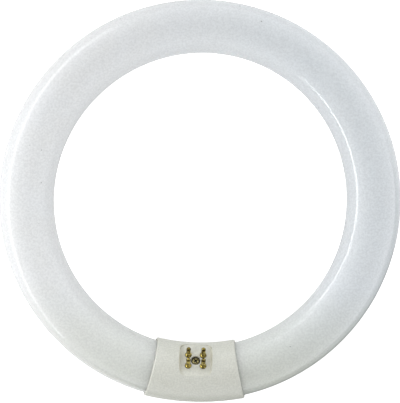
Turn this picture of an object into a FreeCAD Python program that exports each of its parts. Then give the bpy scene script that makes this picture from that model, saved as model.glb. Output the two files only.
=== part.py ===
import FreeCAD, Part
import math
import os
import re
import Sketcher

# A circular fluorescent lamp: a sealed glass ring whose two ends meet inside a moulded base with four pins.
# The origin is the ring's centre, +Z is its axis and the base is at -Y. The pins lean up and inwards.
# The base and all that it holds are modelled in a frame of their own: X runs along the tube, Z is the way
# the pins point and the shells leave their mould, and the origin is the middle of the base's round section.

# Driving sizes, in millimetres and degrees
SIZES = {
    "ring_radius": 93.2,
    "glass_radius": 14.3,
    "glass_gap": 24.0,
    "glass_end_round": 4.5,
    "well_radius": 6.5,
    "well_depth": 6.0,
    "tip_radius": 1.8,
    "tip_proud": 2.5,
    "base_arc": 114.0,
    "base_length": 50.0,
    "base_wall": 1.05,
    "base_rim_round": 0.8,
    "end_angle": 6.1,
    "end_draft": 12.0,
    "bore_clearance": 0.1,
    "lip_length": 3.0,
    "lip_clearance": 0.25,
    "pin_lean": 45.0,
    "floor_height": 12.8,
    "floor_thickness": 3.0,
    "recess_length": 16.8,
    "recess_width": 18.6,
    "recess_corner": 3.3,
    "recess_draft": 5.0,
    "recess_wall": 1.2,
    "pin_spacing_along": 7.92,
    "pin_spacing_across": 6.35,
    "pin_radius": 1.18,
    "pin_length": 7.2,
    "collar_radius": 1.8,
    "collar_height": 1.1,
    "collar_curve": 1.1,
    "neck_radius": 1.3,
    "neck_clearance": 0.05,
    "tail_radius": 1.75,
    "tail_thickness": 0.4,
    "pin_bore_radius": 0.5,
    "pin_bore_height": 5.0,
    "crimp_height": 2.45,
    "crimp_length": 2.3,
    "crimp_depth": 0.42,
    "crimp_standoff": 0.12,
    "head_well_radius": 2.6,
    "head_well_depth": 2.1,
    "head_radius": 2.2,
    "head_height": 1.7,
    "head_flank": 0.6,
    "head_flat": 1.3,
    "head_curve": 1.35,
    "cross_length": 2.5,
    "cross_width": 0.62,
    "cross_depth": 1.1,
    "cross_turn": 35.0,
    "screw_radius": 1.2,
    "screw_length": 11.0,
    "screw_point": 1.0,
    "screw_clearance": 0.1,
    "boss_radius": 2.7,
    "boss_gap": 0.1,
    "boss_bore_spare": 2.0,
    "wire_radius": 0.3,
    "wire_bend": 3.0,
    "wire_drop": 2.0,
    "wire_seal_gap": 0.05,
    "wire_end_gap": 0.5,
}

# Sizes that follow from the driving ones. The base's arc is flatter than the ring, and the two centre lines
# cross at the base's mouths, so the bore between them is as wide as the glass ends need.
FITS = {
    "arc_centre": "sqrt(base_arc^2 - (base_length / 2)^2) - sqrt(ring_radius^2 - (base_length / 2)^2)",
    "base_middle": "base_arc - arc_centre",
    "ring_depth": "sqrt(ring_radius^2 - (glass_gap / 2)^2)",
    "base_depth": "sqrt(base_arc^2 - (glass_gap / 2)^2) - arc_centre",
    "end_offset": "ring_depth - base_depth",
    "bore_radius": "glass_radius + end_offset + bore_clearance",
    "base_radius": "bore_radius + base_wall",
    "lip_radius": "glass_radius + lip_clearance",
    "end_reach": "base_radius + base_wall",
    "end_across": "base_length / 2 * cos(end_draft)",
    "glass_half_angle": "asin(glass_gap / 2 / ring_radius) / 1 deg",
    "base_half_angle": "asin(base_length / 2 / base_arc) / 1 deg",
    "bore_half_angle": "asin((base_length / 2 - lip_length) / base_arc) / 1 deg",
    "block_half_angle": "asin((recess_length / 2 + recess_wall) / base_arc) / 1 deg",
    "floor_underside": "floor_height - floor_thickness",
    "boss_top": "floor_underside - boss_gap",
    "screw_seat": "floor_height - head_well_depth",
    "crimp_reach": "crimp_depth + crimp_standoff",
}

# Names of a line's or arc's points, and of a sketch's own origin and axes
START, END, CENTRE = range(1, 4)
ORIGIN = (-1, START)
ACROSS_AXIS = -1
UP_AXIS = -2

UP = FreeCAD.Vector(0, 0, 1)
TOLERANCE = 1e-4

doc = FreeCAD.newDocument("circular_lamp")


# The sheets, and formulas in their words


def follow(formula):
    """Write a formula in the sheets' words as one that an object of the document can follow."""

    def cell(found):
        word = found[0]
        if word in SIZES:
            return f"Sizes.{word}"
        return f"Fits.{word}" if word in FITS else word

    return re.sub(r"[a-z_]+", cell, formula)


def fill_sheet(name, contents):
    """Give each named content a row of its own, with its name as the cell's alias."""
    sheet = doc.addObject("Spreadsheet::Sheet", name)
    for row, (alias, content) in enumerate(contents.items(), start=1):
        sheet.set(f"A{row}", alias)
        sheet.set(f"B{row}", content)
        sheet.setAlias(f"B{row}", alias)
        doc.recompute()
    return sheet


sizes = fill_sheet("Sizes", {name: str(number) for name, number in SIZES.items()})
own_words = {name: follow(formula).replace("Fits.", "") for name, formula in FITS.items()}
fits = fill_sheet("Fits", {name: f"={formula}" for name, formula in own_words.items()})


def worth(formula):
    """What a formula comes to, with the sheets as they stand."""
    result = fits.evalExpression(follow(formula))
    return float(getattr(result, "Value", result))


# Sketches and features whose sizes follow formulas


def new_body(label, placement=None):
    body = doc.addObject("PartDesign::Body", label)
    body.Label = label
    if placement:
        body.Placement = placement
    return body


def new_sketch(body, role, name, height=None, turn=None):
    """Start a sketch on one of the body's own planes, raised by a height or turned about its up side."""
    sketch = body.newObject("Sketcher::SketchObject", f"{body.Label}_{name}")
    plane = next(item for item in body.Origin.OriginFeatures if item.Role == role)
    sketch.AttachmentSupport = [(plane, "")]
    sketch.MapMode = "FlatFace"
    if height:
        sketch.setExpression(".AttachmentOffset.Base.z", follow(height))
    if turn:
        sketch.AttachmentOffset = FreeCAD.Placement(
            FreeCAD.Vector(), FreeCAD.Rotation(FreeCAD.Vector(0, 1, 0), worth(turn))
        )
        sketch.setExpression(".AttachmentOffset.Rotation.Angle", follow(turn))
    return sketch


def bind(sketch, kind, *where, size):
    """Add a dimension whose size follows a formula."""
    index = sketch.addConstraint(Sketcher.Constraint(kind, *where, worth(size)))
    sketch.setExpression(f"Constraints[{index}]", follow(size))


def join(sketch, first, second):
    sketch.addConstraint(Sketcher.Constraint("Coincident", *first, *second))


def locate(sketch, point, across, up):
    """Hold a point at two formulas' distances from the sketch's origin. A 0 holds it on an axis."""
    for kind, axis, formula in (("DistanceX", UP_AXIS, across), ("DistanceY", ACROSS_AXIS, up)):
        if formula == "0":
            sketch.addConstraint(Sketcher.Constraint("PointOnObject", *point, axis))
        elif worth(formula) < 0:
            bind(sketch, kind, *point, *ORIGIN, size=f"-({formula})")
        else:
            bind(sketch, kind, *ORIGIN, *point, size=formula)


def vector(across, up):
    return FreeCAD.Vector(worth(across), worth(up), 0)


def bowed(start, end, radius):
    """The arc of this radius, under half a turn, that runs anticlockwise from start to end."""
    chord = end - start
    left = FreeCAD.Vector(-chord.y, chord.x, 0).normalize()
    centre = (start + end) * 0.5 + left * math.sqrt(radius**2 - chord.Length**2 / 4)
    angles = [math.atan2(point.y - centre.y, point.x - centre.x) for point in (start, end)]
    return Part.ArcOfCircle(Part.Circle(centre, UP, radius), *angles)


def outline(sketch, corners, arcs=None, closed=True):
    """Draw sides through corners, each a pair of formulas, that run anticlockwise.

    arcs gives a radius, as a formula, to each side that bulges outwards, by the number of its first corner.
    """
    arcs = arcs or {}
    points = [vector(*corner) for corner in corners]
    count = len(points) if closed else len(points) - 1
    sides = []
    for index in range(count):
        start, end = points[index], points[(index + 1) % len(points)]
        shape = bowed(start, end, worth(arcs[index])) if index in arcs else Part.LineSegment(start, end)
        sides.append(sketch.addGeometry(shape))
    for index, side in enumerate(sides):
        locate(sketch, (side, START), *corners[index])
        if index in arcs:
            bind(sketch, "Radius", side, size=arcs[index])
        if closed or index + 1 < count:
            join(sketch, (side, END), (sides[(index + 1) % count], START))
    if not closed:
        locate(sketch, (sides[-1], END), *corners[-1])


def circle(sketch, radius, across="0", up="0"):
    shape = sketch.addGeometry(Part.Circle(vector(across, up), UP, worth(radius)))
    bind(sketch, "Radius", shape, size=radius)
    locate(sketch, (shape, CENTRE), across, up)


def cap(sketch, radius, height="0", side=1):
    """A disc's part above a level chord (side 1), or below it (side -1)."""
    reach = math.sqrt(worth(radius) ** 2 - worth(height) ** 2)
    angle = math.atan2(worth(height), reach)
    first, last = (angle, math.pi - angle) if side > 0 else (math.pi - angle, 2 * math.pi + angle)
    arc = sketch.addGeometry(
        Part.ArcOfCircle(Part.Circle(FreeCAD.Vector(), UP, worth(radius)), first, last)
    )
    chord = sketch.addGeometry(
        Part.LineSegment(
            FreeCAD.Vector(-side * reach, worth(height), 0), FreeCAD.Vector(side * reach, worth(height), 0)
        )
    )
    join(sketch, (arc, CENTRE), ORIGIN)
    bind(sketch, "Radius", arc, size=radius)
    join(sketch, (arc, START), (chord, END))
    join(sketch, (arc, END), (chord, START))
    if height == "0":
        for end in (START, END):
            sketch.addConstraint(Sketcher.Constraint("PointOnObject", arc, end, ACROSS_AXIS))
    else:
        sketch.addConstraint(Sketcher.Constraint("Horizontal", chord))
        bind(sketch, "DistanceY", *ORIGIN, chord, START, size=height)


def rounded_rectangle(sketch, length, width, corner):
    """A rectangle about the sketch's origin with four equal round corners."""
    half_length, half_width, radius = worth(length) / 2, worth(width) / 2, worth(corner)
    turns = [(1, 1), (-1, 1), (-1, -1), (1, -1)]
    rounds = []
    for index, (right, upper) in enumerate(turns):
        middle = FreeCAD.Vector(right * (half_length - radius), upper * (half_width - radius), 0)
        start = index * math.pi / 2
        rounds.append(
            sketch.addGeometry(
                Part.ArcOfCircle(Part.Circle(middle, UP, radius), start, start + math.pi / 2)
            )
        )
    for index, arc in enumerate(rounds):
        following = rounds[(index + 1) % len(rounds)]
        start = sketch.getPoint(arc, END)
        end = sketch.getPoint(following, START)
        side = sketch.addGeometry(Part.LineSegment(start, end))
        sketch.addConstraint(Sketcher.Constraint("Tangent", arc, END, side, START))
        sketch.addConstraint(Sketcher.Constraint("Tangent", side, END, following, START))
        level = index % 2 == 0
        sketch.addConstraint(Sketcher.Constraint("Horizontal" if level else "Vertical", side))
        kind, size = ("DistanceY", width) if level else ("DistanceX", length)
        ends = (*ORIGIN, side, START) if index in (0, 3) else (side, START, *ORIGIN)
        bind(sketch, kind, *ends, size=f"{size} / 2")
    for arc in rounds[1:]:
        sketch.addConstraint(Sketcher.Constraint("Equal", rounds[0], arc))
    bind(sketch, "Radius", rounds[0], size=corner)


def feature(body, kind, name, profile, **settings):
    """Add a feature made from a profile. A setting given as text is a formula that it follows."""
    made = body.newObject(f"PartDesign::{kind}", f"{body.Label}_{name}")
    made.Profile = (profile, [""])
    for key, setting in settings.items():
        if isinstance(setting, str) and key not in ("Type", "SideType", "Mode"):
            made.setExpression(key, follow(setting))
        else:
            setattr(made, key, setting)
    doc.recompute()
    return made


def upright(sketch):
    """The sketch's own up axis, to turn a profile about."""
    return (sketch, ["V_Axis"])


def base_axis(sketch):
    """The line that the base's arc turns about, drawn in a section of the base. It leans as the pins do."""
    line = sketch.addGeometry(
        Part.LineSegment(
            vector("base_arc / cos(pin_lean)", "0"), vector("0", "base_arc / sin(pin_lean)")
        ),
        True,
    )
    locate(sketch, (line, START), "base_arc / cos(pin_lean)", "0")
    locate(sketch, (line, END), "0", "base_arc / sin(pin_lean)")
    return (sketch, ["Axis0"])


def mirror_across(body, name, *features):
    """Repeat features of a body on the other side of its middle plane."""
    mirrored = body.newObject("PartDesign::Mirrored", f"{body.Label}_{name}")
    mirrored.Originals = list(features)
    plane = next(item for item in body.Origin.OriginFeatures if item.Role == "YZ_Plane")
    mirrored.MirrorPlane = (plane, [""])
    body.Tip = mirrored
    doc.recompute()


def round_edges(body, name, chosen, size):
    """Round the edges of a body that a test picks."""
    tip = body.Tip
    edges = [f"Edge{index}" for index, edge in enumerate(tip.Shape.Edges, start=1) if chosen(edge)]
    fillet = body.newObject("PartDesign::Fillet", f"{body.Label}_{name}")
    fillet.Base = (tip, edges)
    fillet.setExpression("Radius", follow(size))
    doc.recompute()


# The base's frame, and those of what stands on the recess floor or hangs under it
lean = FreeCAD.Rotation(FreeCAD.Vector(1, 0, 0), -worth("pin_lean"))
BASE = FreeCAD.Placement(FreeCAD.Vector(0, -worth("base_middle"), 0), lean)


def in_base(across="0", inward="0", height="0", turn=0):
    """A placement at a point of the base's frame, turned about the pins' direction."""
    point = FreeCAD.Vector(worth(across), worth(inward), worth(height))
    return BASE * FreeCAD.Placement(point, FreeCAD.Rotation(UP, turn))


# The glass


def is_glass_rim(edge):
    """Whether an edge is the circle round one of the glass's flat ends."""
    curve = edge.Curve
    return isinstance(curve, Part.Circle) and abs(curve.Radius - worth("glass_radius")) < TOLERANCE


def glass_ring():
    """The sealed tube: a round section carried about the ring's axis, with a gap for the base's inside.

    Each end has a well with a sealed tip in it, where the tube was emptied and its wires come out.
    """
    body = new_body("glass_tube")
    section = new_sketch(body, "YZ_Plane", "section")
    circle(section, "glass_radius", "ring_radius")
    feature(
        body, "Revolution", "ring", section,
        ReferenceAxis=upright(section), Midplane=True, Angle="360 - 2 * glass_half_angle",
    )
    round_edges(body, "ends", is_glass_rim, "glass_end_round")
    well = new_sketch(body, "YZ_Plane", "well_outline", turn="180 - glass_half_angle")
    circle(well, "well_radius", "ring_radius")
    well_cut = feature(body, "Pocket", "well", well, Length="well_depth")
    if well_cut.Shape.Volume >= well_cut.BaseFeature.Shape.Volume:
        well_cut.Reversed = True
    tip = new_sketch(body, "YZ_Plane", "tip_outline", turn="180 - glass_half_angle")
    circle(tip, "tip_radius", "ring_radius")
    tip_pad = feature(
        body, "Pad", "tip", tip,
        SideType="Two sides", Length="tip_proud", Length2="well_depth", Reversed=well_cut.Reversed,
    )
    mirror_across(body, "other_end", well_cut, tip_pad)
    return body


# The base's two shells


def is_rim(edge):
    """Whether an edge goes round the outside of a sleeve's end: its middle is far along, and high or low."""
    middle = edge.valueAt((edge.FirstParameter + edge.LastParameter) / 2)
    return abs(middle.x) > worth("base_length") / 4 and abs(middle.z) > worth("base_radius") / 2


def half_sleeve(label, side):
    """Half of the base's round sleeve: it grips the glass at its two mouths and is wider between them.

    The sleeve is turned too long, and flat cuts trim its ends. Each cut leans towards the middle both ways:
    as it goes in to the ring's middle, by the end angle, and as it rises to the pins, by the end draft.
    Past the sleeve's inner side the outline runs on, so that a longer sleeve is trimmed as well.
    """
    body = new_body(label, BASE)
    section = new_sketch(body, "YZ_Plane", "section")
    axis = base_axis(section)
    cap(section, "base_radius", side=side)
    feature(
        body, "Revolution", "outside", section,
        ReferenceAxis=axis, Midplane=True, Angle="2.5 * base_half_angle",
    )
    end = new_sketch(body, "XY_Plane", "end_outline", turn="-end_draft")
    outline(
        end,
        [
            ("end_across + end_reach * tan(end_angle)", "-end_reach"),
            ("base_length", "-end_reach"),
            ("base_length", "base_length"),
            ("end_across - end_reach * tan(end_angle)", "base_length"),
            ("end_across - end_reach * tan(end_angle)", "end_reach"),
        ],
    )
    end_cut = feature(body, "Pocket", "end", end, Midplane=True, Length="4 * base_radius")
    mirror_across(body, "other_end", end_cut)
    round_edges(body, "rims", is_rim, "base_rim_round")
    mouths = new_sketch(body, "YZ_Plane", "mouth_section")
    axis = base_axis(mouths)
    circle(mouths, "lip_radius")
    feature(
        body, "Groove", "mouths", mouths,
        ReferenceAxis=axis, Midplane=True, Angle="3 * base_half_angle",
    )
    bore = new_sketch(body, "YZ_Plane", "bore_section")
    axis = base_axis(bore)
    circle(bore, "bore_radius")
    feature(
        body, "Groove", "bore", bore,
        ReferenceAxis=axis, Midplane=True, Angle="2 * bore_half_angle",
    )
    return body


def front_shell():
    """The shell with the pins: a flat floor sunk into the sleeve, with holes for the pins and the screw.

    The screw's head has a round well of its own in the floor.
    """
    body = half_sleeve("base_front_shell", side=1)
    block = new_sketch(body, "YZ_Plane", "block_section")
    axis = base_axis(block)
    cap(block, "bore_radius + base_wall / 2", "floor_underside")
    feature(
        body, "Revolution", "block", block,
        ReferenceAxis=axis, Midplane=True, Angle="2 * block_half_angle",
    )
    recess = new_sketch(body, "XY_Plane", "recess_outline", height="floor_height")
    rounded_rectangle(recess, "recess_length", "recess_width", "recess_corner")
    feature(
        body, "Pocket", "recess", recess,
        Length="base_radius", Reversed=True, TaperAngle="recess_draft",
    )
    holes = new_sketch(body, "XY_Plane", "hole_outlines", height="floor_height")
    for across in ("pin_spacing_along / 2", "-pin_spacing_along / 2"):
        for inward in ("pin_spacing_across / 2", "-pin_spacing_across / 2"):
            circle(holes, "neck_radius + neck_clearance", across, inward)
    circle(holes, "screw_radius + screw_clearance")
    feature(body, "Pocket", "holes", holes, Length="2 * floor_thickness")
    well = new_sketch(body, "XY_Plane", "head_well_outline", height="floor_height")
    circle(well, "head_well_radius")
    feature(body, "Pocket", "head_well", well, Length="head_well_depth")
    return body


def back_shell():
    """The plain shell, with a boss that the screw draws up to the front shell's floor."""
    body = half_sleeve("base_back_shell", side=-1)
    boss = new_sketch(body, "XY_Plane", "boss_outline", height="boss_top")
    circle(boss, "boss_radius")
    feature(body, "Pad", "boss", boss, Reversed=True, Length="boss_top + bore_radius + base_wall / 2")
    bore = new_sketch(body, "XY_Plane", "screw_bore", height="boss_top")
    circle(bore, "screw_radius")
    depth = "boss_top - (screw_seat - screw_length) + boss_bore_spare"
    feature(body, "Pocket", "thread_bore", bore, Length=depth)
    return body


# What stands in the recess


def contact_pin(number, across, inward, crimp_turn):
    """A hollow brass pin: domed tip, bell-shaped collar, neck through the floor and a tail spread under it.

    A crimp in its side holds the lead wire that comes up its bore.
    """
    body = new_body(f"contact_pin_{number}", in_base(across, inward, "floor_height", crimp_turn))
    profile = new_sketch(body, "XZ_Plane", "profile")
    tail = "-(floor_thickness + tail_thickness)"
    outline(
        profile,
        [
            ("pin_bore_radius", tail),
            ("tail_radius", tail),
            ("tail_radius", "-floor_thickness"),
            ("neck_radius", "-floor_thickness"),
            ("neck_radius", "0"),
            ("collar_radius", "0"),
            ("pin_radius", "collar_height"),
            ("pin_radius", "pin_length - pin_radius"),
            ("0", "pin_length"),
            ("0", "pin_bore_height"),
            ("pin_bore_radius", "pin_bore_height"),
        ],
        arcs={5: "collar_curve", 7: "pin_radius"},
    )
    feature(body, "Revolution", "turned", profile, ReferenceAxis=upright(profile), Angle=360)
    crimp = new_sketch(body, "XZ_Plane", "crimp_profile")
    side = "pin_radius + crimp_standoff"
    outline(
        crimp,
        [(side, "crimp_height - crimp_length / 2"), (side, "crimp_height + crimp_length / 2")],
        arcs={1: "((crimp_length / 2)^2 + crimp_reach^2) / (2 * crimp_reach)"},
    )
    feature(body, "Groove", "crimp", crimp, ReferenceAxis=(crimp, ["Edge1"]), Angle=360)
    return body


def clamp_screw():
    """The pan-head screw with a cross recess that holds the two shells together."""
    body = new_body("clamp_screw", in_base(height="screw_seat", turn=worth("cross_turn")))
    profile = new_sketch(body, "XZ_Plane", "profile")
    outline(
        profile,
        [
            ("0", "-screw_length"),
            ("screw_radius - screw_point", "-screw_length"),
            ("screw_radius", "-(screw_length - screw_point)"),
            ("screw_radius", "0"),
            ("head_radius", "0"),
            ("head_radius", "head_flank"),
            ("head_flat", "head_height"),
            ("0", "head_height"),
        ],
        arcs={5: "head_curve"},
    )
    feature(body, "Revolution", "turned", profile, ReferenceAxis=upright(profile), Angle=360)
    cross = new_sketch(body, "XY_Plane", "cross_outline", height="head_height")
    far, near = "cross_length / 2", "cross_width / 2"
    outline(
        cross,
        [
            (far, f"-{near}"), (far, near), (near, near), (near, far),
            (f"-{near}", far), (f"-{near}", near), (f"-{far}", near), (f"-{far}", f"-{near}"),
            (f"-{near}", f"-{near}"), (f"-{near}", f"-{far}"), (near, f"-{far}"), (near, f"-{near}"),
        ],
    )
    feature(body, "Pocket", "cross", cross, Length="cross_depth")
    return body


def lead_wire(number, across, inward, side):
    """A lead wire, from the well in the glass end on its side, round one bend and up a pin's bore.

    Its frame stands on the pin's axis at the height of the section's middle, with X towards the glass.
    """
    body = new_body(f"lead_wire_{number}", in_base(across, inward, "0", 0 if side > 0 else 180))
    # the well's floor lies across the ring, so how far out it is depends on how far in the wire runs
    depth = f"(base_middle - ({inward}) * cos(pin_lean) + wire_drop * sin(pin_lean))"
    well_floor = f"(well_depth + {depth} * sin(glass_half_angle)) / cos(glass_half_angle)"
    run = f"{well_floor} - wire_radius * tan(glass_half_angle) - wire_seal_gap - pin_spacing_along / 2"
    top = "floor_height + pin_bore_height - wire_end_gap"
    path = new_sketch(body, "XZ_Plane", "path")
    outline(
        path,
        [("0", top), ("0", "wire_bend - wire_drop"), ("wire_bend", "-wire_drop"), (run, "-wire_drop")],
        arcs={1: "wire_bend"},
        closed=False,
    )
    section = new_sketch(body, "XY_Plane", "section", height=top)
    circle(section, "wire_radius")
    doc.recompute()
    feature(body, "AdditivePipe", "wire", section, Spine=(path, ["Edge1", "Edge2", "Edge3"]))
    return body


def pins_and_wires():
    """Four pins at the corners of a rectangle, each with the wire that comes from the glass on its side.

    The inner pins are crimped on the sides that face each other, and the outer ones on their outer sides.
    """
    made = []
    places = [(-1, 1), (1, 1), (-1, -1), (1, -1)]
    for number, (side, inner) in enumerate(places, start=1):
        across = "pin_spacing_along / 2" if side > 0 else "-pin_spacing_along / 2"
        inward = "pin_spacing_across / 2" if inner > 0 else "-pin_spacing_across / 2"
        if inner > 0:
            crimp_turn = 180 if side > 0 else 0
        else:
            crimp_turn = -90
        made.append(contact_pin(number, across, inward, crimp_turn))
        made.append(lead_wire(number, across, inward, side))
    return made


pieces = [glass_ring(), front_shell(), back_shell(), clamp_screw(), *pins_and_wires()]
doc.recompute()

for item in doc.Objects:
    faults = {"Invalid", "Error"} & set(item.State)
    if faults:
        raise RuntimeError(f"{item.Name} is {faults}")

os.makedirs("parts", exist_ok=True)
for piece in pieces:
    shape = piece.Shape
    if shape.isNull() or not shape.isValid() or len(shape.Solids) != 1:
        raise RuntimeError(f"{piece.Label} is not one sound solid")
    box = shape.optimalBoundingBox()
    print(
        f"{piece.Label}: {shape.Volume:.2f} mm3, {len(shape.Faces)} faces,"
        f" X {box.XMin:.2f}..{box.XMax:.2f} Y {box.YMin:.2f}..{box.YMax:.2f} Z {box.ZMin:.2f}..{box.ZMax:.2f}"
    )
    shape.exportStep(f"parts/{piece.Label}.step")
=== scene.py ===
# %% [markdown]
# # A circular fluorescent lamp
#
# The lamp is a sealed glass tube, white inside with its coating, that is bent into a ring. Its two ends meet
# in a moulded plastic base. Four hollow brass pins and a small screw stand in a sunken floor of that base.
#
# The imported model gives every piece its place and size. This lesson dresses it: the visible pieces are made
# again as fine surfaces with soft edges, and each gets a material worked out from the real finish.

import bmesh
import bpy
import numpy as np
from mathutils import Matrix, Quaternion, Vector


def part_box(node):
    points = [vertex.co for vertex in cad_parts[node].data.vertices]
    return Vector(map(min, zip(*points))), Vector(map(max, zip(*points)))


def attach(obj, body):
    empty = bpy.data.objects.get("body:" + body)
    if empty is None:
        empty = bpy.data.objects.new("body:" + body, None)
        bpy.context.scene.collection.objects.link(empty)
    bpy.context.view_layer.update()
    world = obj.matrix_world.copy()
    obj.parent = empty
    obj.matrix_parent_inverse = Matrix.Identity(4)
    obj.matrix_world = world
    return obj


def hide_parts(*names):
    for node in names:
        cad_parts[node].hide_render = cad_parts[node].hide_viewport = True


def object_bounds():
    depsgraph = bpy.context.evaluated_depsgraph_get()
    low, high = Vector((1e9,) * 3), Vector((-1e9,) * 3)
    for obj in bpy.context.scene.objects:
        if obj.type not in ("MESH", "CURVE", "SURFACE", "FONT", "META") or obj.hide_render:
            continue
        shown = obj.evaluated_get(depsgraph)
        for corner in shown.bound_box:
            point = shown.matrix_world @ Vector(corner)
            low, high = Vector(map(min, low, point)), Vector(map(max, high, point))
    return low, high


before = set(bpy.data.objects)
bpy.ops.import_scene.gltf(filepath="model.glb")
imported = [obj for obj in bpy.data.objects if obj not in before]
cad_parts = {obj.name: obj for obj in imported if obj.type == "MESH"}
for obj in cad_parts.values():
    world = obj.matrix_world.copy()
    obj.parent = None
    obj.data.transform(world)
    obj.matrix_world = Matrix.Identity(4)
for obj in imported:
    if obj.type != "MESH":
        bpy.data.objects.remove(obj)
cad_low, cad_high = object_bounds()
print("pieces in the frame:", sorted(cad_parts))

# %% [markdown]
# ## Sizes
#
# Everything is worked out in millimetres and turned into metres when a mesh is made. The ring's two radii are
# read from the frame. The base, the pins and the screw repeat the sizes that they were designed with.

# %% The ring, read from the frame
MM = 0.001
TAU = 2 * np.pi
glass_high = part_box("glass_tube")[1]
GLASS_RADIUS = round(glass_high.z / MM, 1)
RING_RADIUS = round(glass_high.x / MM, 1) - GLASS_RADIUS
GLASS_GAP = 24.0
print(f"ring {RING_RADIUS:.2f} mm, tube {GLASS_RADIUS:.2f} mm")

# %% [markdown]
# The base is a short curved sleeve that leans inwards with its pins. Written once here, its sizes serve every
# piece below, so that a hole and what stands in it can't drift apart.

# %% The base
BASE_ARC = 114.0
BASE_LENGTH = 50.0
BASE_WALL = 1.05
BORE_CLEARANCE = 0.1
END_ANGLE = np.radians(6.1)
END_DRAFT = np.radians(12.0)
LIP_LENGTH = 3.0
LIP_RADIUS = GLASS_RADIUS + 0.25
LEAN = np.radians(45.0)
print(f"base {BASE_LENGTH} mm long, on an arc of {BASE_ARC} mm, leaning {np.degrees(LEAN):.0f} degrees")

# %% The sunken floor and what stands in it
FLOOR_HEIGHT = 12.8
FLOOR_THICKNESS = 3.0
RECESS_LENGTH = 16.8
RECESS_WIDTH = 18.6
RECESS_CORNER = 3.3
RECESS_DRAFT = np.radians(5.0)
RECESS_WALL = 1.2
PIN_ALONG = 7.92
PIN_ACROSS = 6.35
PIN_RADIUS = 1.18
PIN_LENGTH = 7.2
HEAD_WELL_RADIUS = 2.6
HEAD_WELL_DEPTH = 2.1
SCREW_RADIUS = 1.2
SCREW_LENGTH = 11.0
print(f"pins {PIN_ALONG} mm apart along the base and {PIN_ACROSS} mm across it")

# %% [markdown]
# The base's centre line is an arc that is a little flatter than the ring, and the two cross at its mouths.
# So the arc's centre lies beside the ring's, and the bore is as wide as the offset glass ends need.

# %% Sizes that follow
HALF_LENGTH = BASE_LENGTH / 2
ARC_CENTRE = np.sqrt(BASE_ARC**2 - HALF_LENGTH**2) - np.sqrt(RING_RADIUS**2 - HALF_LENGTH**2)
BASE_MIDDLE = BASE_ARC - ARC_CENTRE
ring_depth = np.sqrt(RING_RADIUS**2 - (GLASS_GAP / 2) ** 2)
base_depth = np.sqrt(BASE_ARC**2 - (GLASS_GAP / 2) ** 2) - ARC_CENTRE
BORE_RADIUS = GLASS_RADIUS + ring_depth - base_depth + BORE_CLEARANCE
BASE_RADIUS = BORE_RADIUS + BASE_WALL
BORE_RUN = np.arcsin((HALF_LENGTH - LIP_LENGTH) / BASE_ARC)
BLOCK_RUN = np.arcsin((RECESS_LENGTH / 2 + RECESS_WALL) / BASE_ARC)
FLOOR_UNDERSIDE = FLOOR_HEIGHT - FLOOR_THICKNESS
SCREW_SEAT = FLOOR_HEIGHT - HEAD_WELL_DEPTH
print(f"base radius {BASE_RADIUS:.3f} mm, its section's middle at y = {-BASE_MIDDLE:.3f} mm")

# %% [markdown]
# ## From a grid of points to a mesh
#
# A surface here is a grid: an array of rows by columns by three coordinates, worked out at once by a formula.
# Neighbours in the grid make a quad. Several grids can share edges, and points that fall on the same spot
# are merged, which also closes the poles, where a whole row is one point.

# %% Grids into one mesh
MERGE = 2e-5 * MM


def grid_quads(shape, first, closed):
    """The four corner numbers of each quad of a grid whose points are numbered from first, row by row."""
    number = first + np.arange(shape[0] * shape[1]).reshape(shape[:2])
    if closed:
        number = np.hstack([number, number[:, :1]])
    corners = [number[:-1, :-1], number[1:, :-1], number[1:, 1:], number[:-1, 1:]]
    return np.stack(corners, axis=-1).reshape(-1, 4)


def mesh_of(name, *grids):
    """One closed mesh from grids in millimetres, each given with whether its columns close into a loop."""
    quads = []
    first = 0
    for points, closed in grids:
        quads.append(grid_quads(points.shape, first, closed))
        first += points.shape[0] * points.shape[1]
    places = np.concatenate([points.reshape(-1, 3) for points, closed in grids]) * MM
    mesh = bpy.data.meshes.new(name)
    mesh.from_pydata(places.tolist(), [], np.concatenate(quads).tolist())
    work = bmesh.new()
    work.from_mesh(mesh)
    bmesh.ops.remove_doubles(work, verts=work.verts, dist=MERGE)
    bmesh.ops.recalc_face_normals(work, faces=work.faces)
    open_edges = sum(not edge.is_manifold for edge in work.edges)
    work.to_mesh(mesh)
    work.free()
    print(f"{name}: {len(mesh.polygons)} faces, {open_edges} open edges")
    return mesh


# %% A mesh becomes a piece
CREASE = np.radians(40.0)


def smooth(mesh):
    """Shades a mesh smoothly, but for edges that fold by more than the crease angle."""
    mesh.polygons.foreach_set("use_smooth", np.ones(len(mesh.polygons), bool))
    mesh.set_sharp_from_angle(angle=CREASE)


def piece_of(name, mesh):
    """An object at the origin, unturned and unscaled, that shows a mesh smoothly shaded."""
    piece = bpy.data.objects.new(name, mesh)
    bpy.context.scene.collection.objects.link(piece)
    smooth(mesh)
    return piece


print(f"edges that fold by more than {np.degrees(CREASE):.0f} degrees stay sharp")


# %% [markdown]
# ## Profiles
#
# Turned parts start as a profile: the few corners that a maker would draw, each with the radius that rounds
# it. An arc that touches both sides replaces the corner, and long sides are divided where detail follows. A
# bevel modifier could round the finished mesh, but not each corner by its own radius.

# %% Rounded corners
ARC_STEPS = 6


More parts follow.
